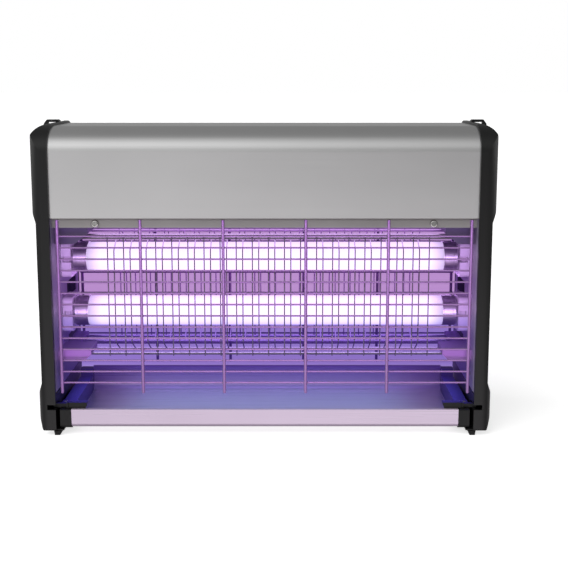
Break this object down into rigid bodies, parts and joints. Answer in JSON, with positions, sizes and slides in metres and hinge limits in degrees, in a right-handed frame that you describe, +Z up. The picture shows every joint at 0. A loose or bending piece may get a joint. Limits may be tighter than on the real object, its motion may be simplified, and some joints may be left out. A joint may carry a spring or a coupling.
{
  "type": "electric bug zapper",
  "caption": "Insect killer with ultraviolet lamps behind wire guards and high-voltage grids, between black end caps, with a metal cover and a slide-out tray.",
  "frame": {"origin": "centre of the bounding box's bottom face, on the surface that the feet stand on", "axes": "+X along the lamps, +Y from the front guard to the rear guard, +Z up"},
  "size_m": [0.38, 0.09, 0.262],
  "materials": {
    "cap_plastic": "satin",
    "cover_aluminium": "satin anodised",
    "floor_steel": "satin",
    "plate_steel": "satin",
    "guard_wire": "gloss",
    "grid_wire": "bright drawn",
    "insulator_plastic": "satin",
    "holder_plastic": "satin",
    "rotor_plastic": "satin",
    "lamp_glass": "phosphor coated",
    "lamp_metal": "bright",
    "pin_brass": "bright",
    "pan_metal": "satin anodised",
    "tray_plastic": "satin",
    "spring_steel": "bright drawn",
    "foot_rubber": "matte",
    "gland_plastic": "satin",
    "core_steel": "varnished",
    "coil_winding": "taped",
    "bracket_steel": "zinc plated",
    "ballast_paint": "satin",
    "starter_can": "bright",
    "terminal_plastic": "natural",
    "screw_steel": "zinc plated",
    "lead_red": "satin",
    "lead_white": "satin",
    "bushing_ceramic": "glazed"
  },
  "bodies": {
    "body": {"ballast_screws": "screw_steel", "cap_screws": "screw_steel", "compartment_floor": "floor_steel", "cord_gland": "gland_plastic", "cord_gland_nut": "gland_plastic", "earth_screw": "screw_steel", "feet": "foot_rubber", "floor_screws": "screw_steel", "front_ballast": "ballast_paint", "front_guard": "guard_wire", "front_guard_strip": "floor_steel", "front_live_grid": "grid_wire", "front_return_grid": "grid_wire", "guard_screws": "screw_steel", "hv_bushings": "bushing_ceramic", "hv_leads": "lead_red", "insulator_screws": "screw_steel", "lampholder_screws": "screw_steel", "left_cap": "cap_plastic", "left_lamp_leads": "lead_white", "left_side_plate": "plate_steel", "lower_left_insulator": "insulator_plastic", "lower_left_lampholder": "holder_plastic", "lower_right_insulator": "insulator_plastic", "lower_right_lampholder": "holder_plastic", "rear_ballast": "ballast_paint", "rear_guard": "guard_wire", "rear_guard_strip": "floor_steel", "rear_live_grid": "grid_wire", "rear_return_grid": "grid_wire", "right_cap": "cap_plastic", "right_lamp_leads": "lead_white", "right_side_plate": "plate_steel", "starter_holders": "holder_plastic", "starters": "starter_can", "terminal_block": "terminal_plastic", "terminal_screws": "screw_steel", "top_cover": "cover_aluminium", "transformer_bracket": "bracket_steel", "transformer_coil": "coil_winding", "transformer_core": "core_steel", "transformer_screws": "screw_steel", "upper_left_insulator": "insulator_plastic", "upper_left_lampholder": "holder_plastic", "upper_right_insulator": "insulator_plastic", "upper_right_lampholder": "holder_plastic"},
    "tray": {"tray_pan": "pan_metal", "tray_left_end": "tray_plastic", "tray_right_end": "tray_plastic", "left_catch_spring": "spring_steel", "right_catch_spring": "spring_steel"},
    "left_catch": {"left_catch": "tray_plastic"},
    "right_catch": {"right_catch": "tray_plastic"},
    "upper_lamp": {"upper_lamp_tube": "lamp_glass", "upper_lamp_caps": "lamp_metal", "upper_lamp_pins": "pin_brass", "upper_lamp_rotors": "rotor_plastic"},
    "lower_lamp": {"lower_lamp_tube": "lamp_glass", "lower_lamp_caps": "lamp_metal", "lower_lamp_pins": "pin_brass", "lower_lamp_rotors": "rotor_plastic"}
  },
  "joints": [
    {"name": "tray_slide", "type": "slide", "parent": "body", "child": "tray", "axis": [0, -1, 0], "range_m": [0, 0.1]},
    {"name": "left_catch_slide", "type": "slide", "parent": "tray", "child": "left_catch", "axis": [1, 0, 0], "range_m": [0, 0.0032], "stiffness_N_per_m": 300, "springref_m": -0.003, "deforming": ["left_catch_spring"]},
    {"name": "right_catch_slide", "type": "slide", "parent": "tray", "child": "right_catch", "axis": [-1, 0, 0], "range_m": [0, 0.0032], "stiffness_N_per_m": 300, "springref_m": -0.003, "deforming": ["right_catch_spring"]},
    {"name": "upper_lamp_twist", "type": "hinge", "parent": "body", "child": "upper_lamp", "pos_m": [0, 0, 0.1431], "axis": [1, 0, 0], "range_deg": [0, 90]},
    {"name": "lower_lamp_twist", "type": "hinge", "parent": "body", "child": "lower_lamp", "pos_m": [0, 0, 0.0952], "axis": [1, 0, 0], "range_deg": [0, 90]}
  ]
}
